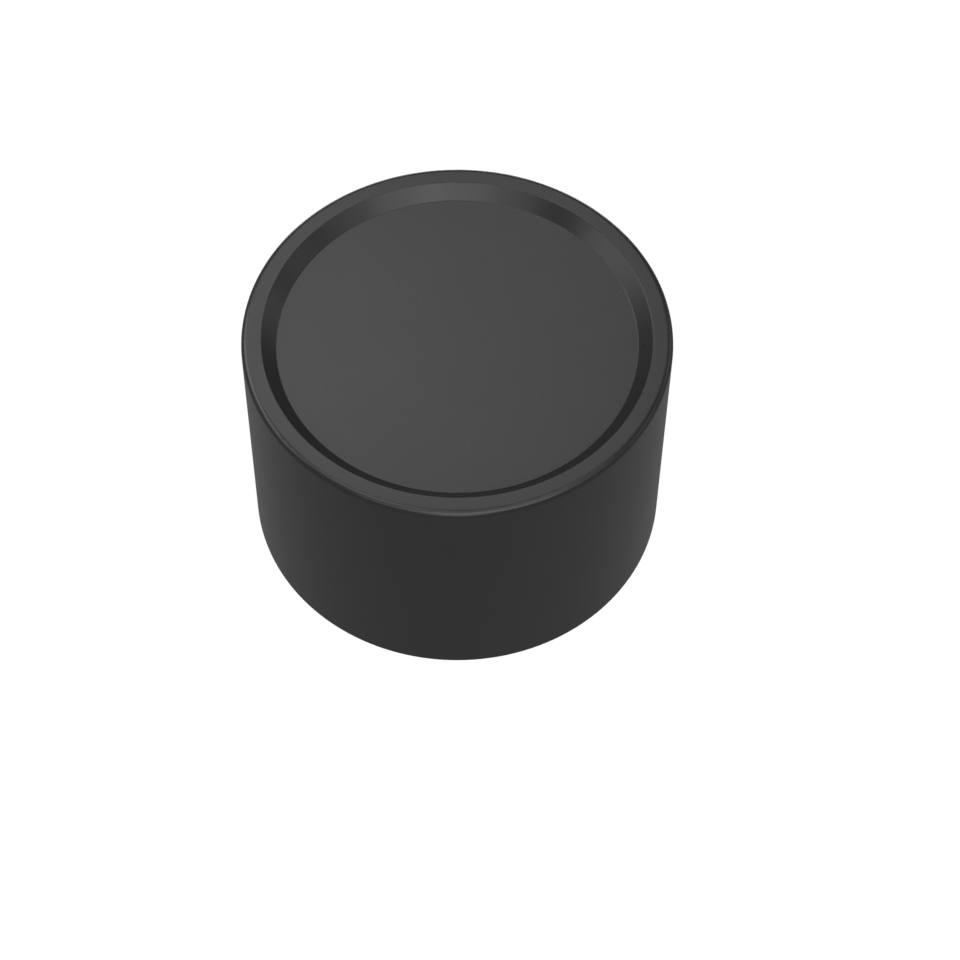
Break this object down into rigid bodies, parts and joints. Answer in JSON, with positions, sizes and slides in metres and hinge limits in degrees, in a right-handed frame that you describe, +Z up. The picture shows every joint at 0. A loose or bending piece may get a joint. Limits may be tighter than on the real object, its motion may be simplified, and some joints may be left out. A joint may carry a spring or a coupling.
{
  "type": "gnss receiver",
  "caption": "Round pocket GNSS receiver: a short black cylinder with a dished top, a pole thread underneath and a service bezel let into its back wall.",
  "frame": {"origin": "on the housing's axis, at the plane where the rubber feet stand", "axes": "+Z up along the housing's axis, -Y towards the plain front of the wall, +Y towards the service bezel in the back wall, +X to the right seen from the front"},
  "size_m": [0.089, 0.089, 0.0581],
  "materials": {
    "housing_plastic": "fine moulded texture, matte",
    "bezel_plastic": "satin",
    "base_plastic": "glass-filled, matte",
    "black_rubber": "moulded, dull",
    "orange_silicone": "dull silicone",
    "grey_silicone": "dull silicone",
    "stainless_steel": "turned and passivated",
    "spring_steel": "drawn wire",
    "turned_brass": "turned",
    "tray_plastic": "moulded",
    "cell_sleeve": "shrink sleeve over the can",
    "nickel": "bright nickel",
    "red_lead": "silicone insulation",
    "black_lead": "silicone insulation",
    "white_nylon": "moulded nylon",
    "board_green": "solder mask",
    "tin_can": "drawn tinplate",
    "chip_black": "moulded package",
    "ferrite_grey": "sintered ferrite",
    "contact_black": "moulded",
    "clear_plastic": "polished clear polycarbonate",
    "led_white": "small light package",
    "vent_white": "microporous sheet",
    "ceramic": "fired ceramic",
    "silver_print": "fired silver",
    "coax_jacket": "thin extruded jacket",
    "gold_plate": "gold flash over brass"
  },
  "bodies": {
    "receiver": {"housing_cap": "housing_plastic", "base_plate": "base_plastic", "base_seal_ring": "black_rubber", "base_screws": "stainless_steel", "rubber_feet": "black_rubber", "vent_plug": "base_plastic", "vent_membrane": "vent_white", "pole_insert": "turned_brass", "insert_seal_ring": "black_rubber", "insert_screws": "stainless_steel", "battery_tray": "tray_plastic", "tray_screws": "stainless_steel", "battery_cells": "cell_sleeve", "cell_strips": "nickel", "battery_lead_red": "red_lead", "battery_lead_black": "black_lead", "battery_plug": "white_nylon", "battery_socket": "white_nylon", "main_board": "board_green", "positioning_module": "tin_can", "radio_module": "tin_can", "board_chips": "chip_black", "power_inductors": "ferrite_grey", "usb_socket_shell": "stainless_steel", "usb_socket_tongue": "contact_black", "usb_socket_gasket": "grey_silicone", "power_switch_body": "chip_black", "status_leds": "led_white", "light_pipe": "clear_plastic", "control_bezel": "bezel_plastic", "bezel_seal": "black_rubber", "port_hinge_pin": "stainless_steel", "button_retainer": "stainless_steel", "button_spring": "spring_steel", "antenna_standoffs": "turned_brass", "ground_plane": "board_green", "plane_screws": "stainless_steel", "lower_patch": "ceramic", "lower_patch_silver": "silver_print", "upper_patch": "ceramic", "upper_patch_silver": "silver_print", "feed_pins": "gold_plate", "amplifier_shield": "tin_can", "rf_sockets": "gold_plate", "rf_plugs": "gold_plate", "antenna_cable": "coax_jacket"},
    "power_button": {"power_button": "bezel_plastic", "button_seal_ring": "orange_silicone"},
    "switch_stem": {"power_switch_plunger": "white_nylon"},
    "port_door": {"port_door": "bezel_plastic", "port_door_seal": "grey_silicone"}
  },
  "joints": [
    {"name": "button_press", "type": "slide", "parent": "receiver", "child": "power_button", "axis": [-0.3173, -0.9483, 0], "range_m": [0, 0.0003], "stiffness_N_per_m": 1500, "springref_m": -0.0006, "deforming": ["button_spring"]},
    {"name": "stem_press", "type": "slide", "parent": "receiver", "child": "switch_stem", "axis": [-0.3173, -0.9483, 0], "range_m": [0, 0.0003]},
    {"name": "door_swing", "type": "hinge", "parent": "receiver", "child": "port_door", "pos_m": [-0.02186, 0.03697, 0.03123], "axis": [0, 0, 1], "range_deg": [0, 95]}
  ],
  "couplings": [
    {"joint": "stem_press", "follows": "button_press", "ratio": 1}
  ]
}
